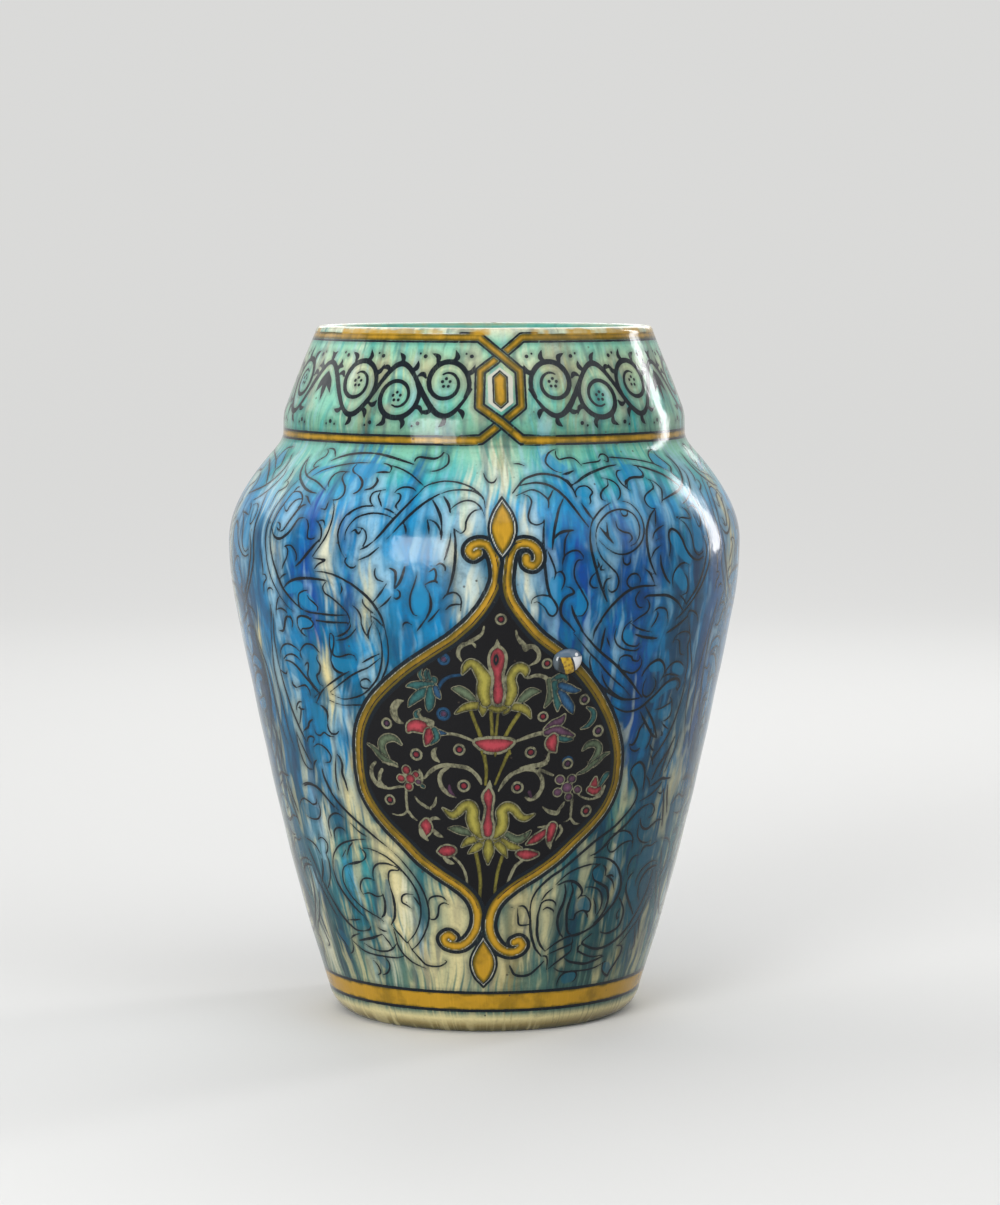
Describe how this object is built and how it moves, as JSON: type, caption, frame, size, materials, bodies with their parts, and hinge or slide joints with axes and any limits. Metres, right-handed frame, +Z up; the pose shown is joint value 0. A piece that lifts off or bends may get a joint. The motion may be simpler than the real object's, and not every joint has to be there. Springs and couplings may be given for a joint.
{
  "type": "pottery vase",
  "caption": "Wide-mouthed glazed pottery vase: tapered body, round shoulder, upright collar leaning in to a rounded lip, on a flat foot ring, open inside.",
  "frame": {"origin": "on the vase's axis, in the plane of the foot ring it stands on", "axes": "+Z up along the vase's axis, -Y to the front (the side in the picture), +X to the right seen from the front"},
  "size_m": [0.2012, 0.2012, 0.27],
  "materials": {
    "foot_clay": "bare fired clay under, thin cream glaze on the outside",
    "body_glaze": "gloss glaze on earthenware, opaque",
    "shoulder_glaze": "gloss glaze on earthenware, opaque",
    "neck_glaze": "gloss glaze on earthenware, opaque",
    "lip_glaze": "gloss glaze on earthenware, opaque",
    "clear_drop": "thick clear glaze"
  },
  "bodies": {
    "root": {"base_slab": "foot_clay", "lower_body": "body_glaze", "shoulder": "shoulder_glaze", "neck_collar": "neck_glaze", "rim_lip": "lip_glaze", "glaze_drop": "clear_drop"}
  },
  "joints": []
}
